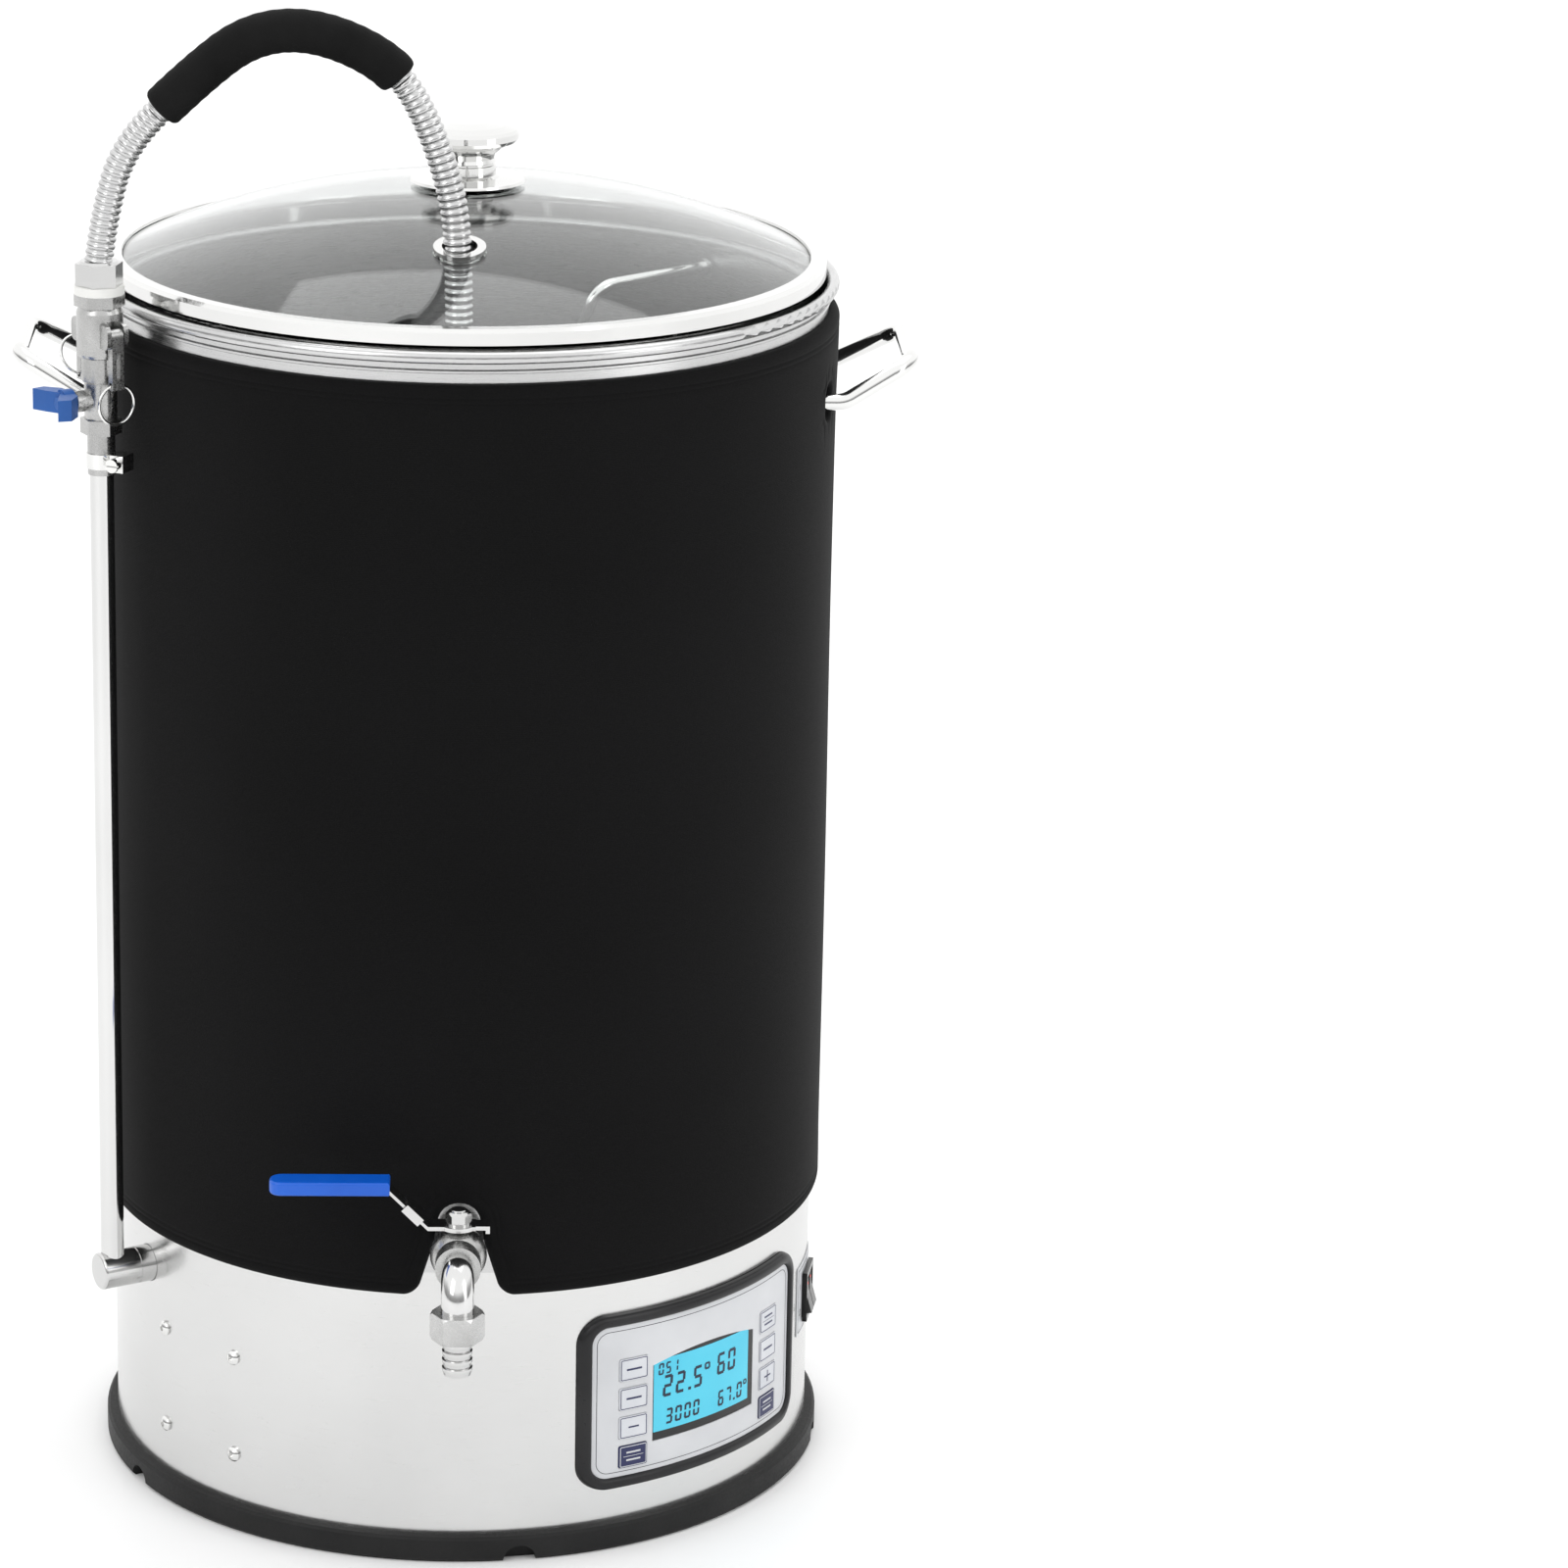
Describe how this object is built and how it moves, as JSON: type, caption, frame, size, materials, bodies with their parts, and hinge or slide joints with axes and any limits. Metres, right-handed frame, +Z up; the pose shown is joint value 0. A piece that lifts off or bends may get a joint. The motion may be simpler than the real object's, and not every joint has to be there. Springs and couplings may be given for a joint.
{
  "type": "electric all in one brewer",
  "caption": "Tall jacketed steel brewing kettle on a heated base with control panel, pump riser and hose, drain tap, glass lid and lift-out malt pipe.",
  "frame": {"origin": "kettle's vertical axis at the floor under the foot ring", "axes": "+Z up; the drain tap faces -Y; the riser pipe is at the left front (-X) and the switches at the right (+X)"},
  "size_m": [0.485, 0.4736, 0.8265],
  "materials": {
    "stainless_satin": "satin brushed stainless steel",
    "stainless_polished": "polished stainless steel",
    "cast_steel": "investment-cast stainless steel",
    "rubber_black": "matte black rubber",
    "neoprene": "matte black fabric-faced neoprene",
    "foam_grip": "closed-cell foam",
    "glass": "clear tempered glass",
    "bezel_charcoal": "moulded plastic",
    "plate_silver": "silver-grey overlay",
    "key_white": "silver-white overlay",
    "key_navy": "navy printed overlay",
    "lcd": "backlit display",
    "plastic_black": "moulded plastic",
    "grip_blue": "dipped vinyl",
    "handle_blue": "moulded nylon",
    "silicone_white": "white silicone",
    "board": "circuit board",
    "motor_grey": "painted metal",
    "pump_plastic": "moulded plastic",
    "aluminium": "bare aluminium"
  },
  "bodies": {
    "base": {"foot_ring": "rubber_black", "base_pan": "stainless_satin", "base_skirt": "stainless_satin", "kettle_vessel": "stainless_satin", "rocker_label_plate": "stainless_satin", "riser_clamp": "stainless_satin", "skirt_screws": "stainless_polished", "side_handle_left": "stainless_polished", "side_handle_right": "stainless_polished", "riser_pipe": "stainless_polished", "outlet_spigot": "stainless_polished", "heating_element": "stainless_polished", "tap_elbow": "stainless_polished", "recirc_valve_body": "cast_steel", "camlock_adapter": "cast_steel", "tap_body": "cast_steel", "tap_union_nut": "cast_steel", "tap_barb": "cast_steel", "heat_plate": "aluminium", "pump_motor": "motor_grey", "pump_head": "pump_plastic", "rocker_housing": "pump_plastic", "power_inlet": "pump_plastic", "pump_inlet_tube": "silicone_white", "insulation_jacket": "neoprene", "panel_bezel": "bezel_charcoal", "panel_plate": "plate_silver", "lcd_module": "lcd", "control_board": "board"},
    "malt_pipe": {"malt_pipe_tube": "stainless_satin", "malt_pipe_screen": "stainless_satin"},
    "malt_handle": {"malt_pipe_handle": "stainless_polished"},
    "lid": {"lid_glass": "glass", "lid_ring": "stainless_satin", "lid_knob": "stainless_polished", "hose_grommet": "stainless_polished"},
    "hose": {"recirc_hose": "stainless_polished", "hose_grip": "foam_grip", "hose_nut": "stainless_polished", "coupler_washer": "silicone_white", "camlock_coupler": "cast_steel"},
    "cam_arm_right": {"cam_arm_right": "cast_steel"},
    "cam_arm_left": {"cam_arm_left": "cast_steel"},
    "pull_ring_right": {"pull_ring_right": "stainless_polished"},
    "pull_ring_left": {"pull_ring_left": "stainless_polished"},
    "tap_lever": {"tap_lever": "cast_steel", "tap_lever_grip": "grip_blue", "tap_ball_stem": "cast_steel"},
    "valve_handle": {"recirc_valve_handle": "handle_blue"},
    "rocker_heat": {"rocker_heat": "plastic_black"},
    "rocker_pump": {"rocker_pump": "plastic_black"},
    "impeller": {"pump_impeller": "pump_plastic"},
    "key_temp": {"key_temp": "key_white"},
    "key_power": {"key_power": "key_white"},
    "key_minus": {"key_minus": "key_white"},
    "key_manual": {"key_manual": "key_navy"},
    "key_start": {"key_start": "key_white"},
    "key_timer": {"key_timer": "key_white"},
    "key_plus": {"key_plus": "key_white"},
    "key_auto": {"key_auto": "key_navy"}
  },
  "joints": [
    {"name": "malt_pipe_lift", "type": "slide", "parent": "base", "child": "malt_pipe", "axis": [0, 0, 1], "range_m": [0, 0.5]},
    {"name": "malt_handle_swing", "type": "hinge", "parent": "malt_pipe", "child": "malt_handle", "pos_m": [0, 0, 0.644], "axis": [0.7314, 0.682, 0], "range_deg": [-40, 95]},
    {"name": "lid_lift", "type": "slide", "parent": "malt_pipe", "child": "lid", "axis": [0, 0, 1], "range_m": [0, 0.15]},
    {"name": "hose_lift", "type": "slide", "parent": "lid", "child": "hose", "axis": [0, 0, 1], "range_m": [0, 0.15]},
    {"name": "cam_arm_right_open", "type": "hinge", "parent": "hose", "child": "cam_arm_right", "pos_m": [-0.18336, -0.11278, 0.655], "axis": [-0.8192, -0.5736, 0], "range_deg": [0, 105]},
    {"name": "cam_arm_left_open", "type": "hinge", "parent": "hose", "child": "cam_arm_left", "pos_m": [-0.19896, -0.0905, 0.655], "axis": [0.8192, 0.5736, 0], "range_deg": [0, 105]},
    {"name": "pull_ring_right_swing", "type": "hinge", "parent": "cam_arm_right", "child": "pull_ring_right", "pos_m": [-0.18215, -0.1145, 0.6296], "axis": [-0.8192, -0.5736, 0], "range_deg": [-10, 120]},
    {"name": "pull_ring_left_swing", "type": "hinge", "parent": "cam_arm_left", "child": "pull_ring_left", "pos_m": [-0.20016, -0.08878, 0.6296], "axis": [0.8192, 0.5736, 0], "range_deg": [-150, 10]},
    {"name": "tap_lever_turn", "type": "hinge", "parent": "base", "child": "tap_lever", "pos_m": [-0.00236, -0.22499, 0.188], "axis": [0, 0, 1], "range_deg": [0, 90]},
    {"name": "valve_handle_turn", "type": "hinge", "parent": "base", "child": "valve_handle", "pos_m": [-0.19116, -0.10164, 0.619], "axis": [-0.8829, -0.4695, 0], "range_deg": [0, 90]},
    {"name": "rocker_heat_tilt", "type": "hinge", "parent": "base", "child": "rocker_heat", "pos_m": [0.19124, -0.04094, 0.092], "axis": [0.1822, 0.9833, 0], "range_deg": [0, 18]},
    {"name": "rocker_pump_tilt", "type": "hinge", "parent": "base", "child": "rocker_pump", "pos_m": [0.19321, -0.03032, 0.092], "axis": [0.1822, 0.9833, 0], "range_deg": [0, 18]},
    {"name": "key_temp_press", "type": "slide", "parent": "base", "child": "key_temp", "axis": [-0.682, 0.7314, 0], "range_m": [0, 0.0005], "stiffness_N_per_m": 1500},
    {"name": "key_power_press", "type": "slide", "parent": "base", "child": "key_power", "axis": [-0.682, 0.7314, 0], "range_m": [0, 0.0005], "stiffness_N_per_m": 1500},
    {"name": "key_minus_press", "type": "slide", "parent": "base", "child": "key_minus", "axis": [-0.682, 0.7314, 0], "range_m": [0, 0.0005], "stiffness_N_per_m": 1500},
    {"name": "key_manual_press", "type": "slide", "parent": "base", "child": "key_manual", "axis": [-0.682, 0.7314, 0], "range_m": [0, 0.0005], "stiffness_N_per_m": 1500},
    {"name": "key_start_press", "type": "slide", "parent": "base", "child": "key_start", "axis": [-0.682, 0.7314, 0], "range_m": [0, 0.0005], "stiffness_N_per_m": 1500},
    {"name": "key_timer_press", "type": "slide", "parent": "base", "child": "key_timer", "axis": [-0.682, 0.7314, 0], "range_m": [0, 0.0005], "stiffness_N_per_m": 1500},
    {"name": "key_plus_press", "type": "slide", "parent": "base", "child": "key_plus", "axis": [-0.682, 0.7314, 0], "range_m": [0, 0.0005], "stiffness_N_per_m": 1500},
    {"name": "key_auto_press", "type": "slide", "parent": "base", "child": "key_auto", "axis": [-0.682, 0.7314, 0], "range_m": [0, 0.0005], "stiffness_N_per_m": 1500},
    {"name": "impeller_spin", "type": "hinge", "parent": "base", "child": "impeller", "pos_m": [-0.09712, -0.05164, 0.1305], "axis": [0, 0, 1], "continuous": true}
  ]
}
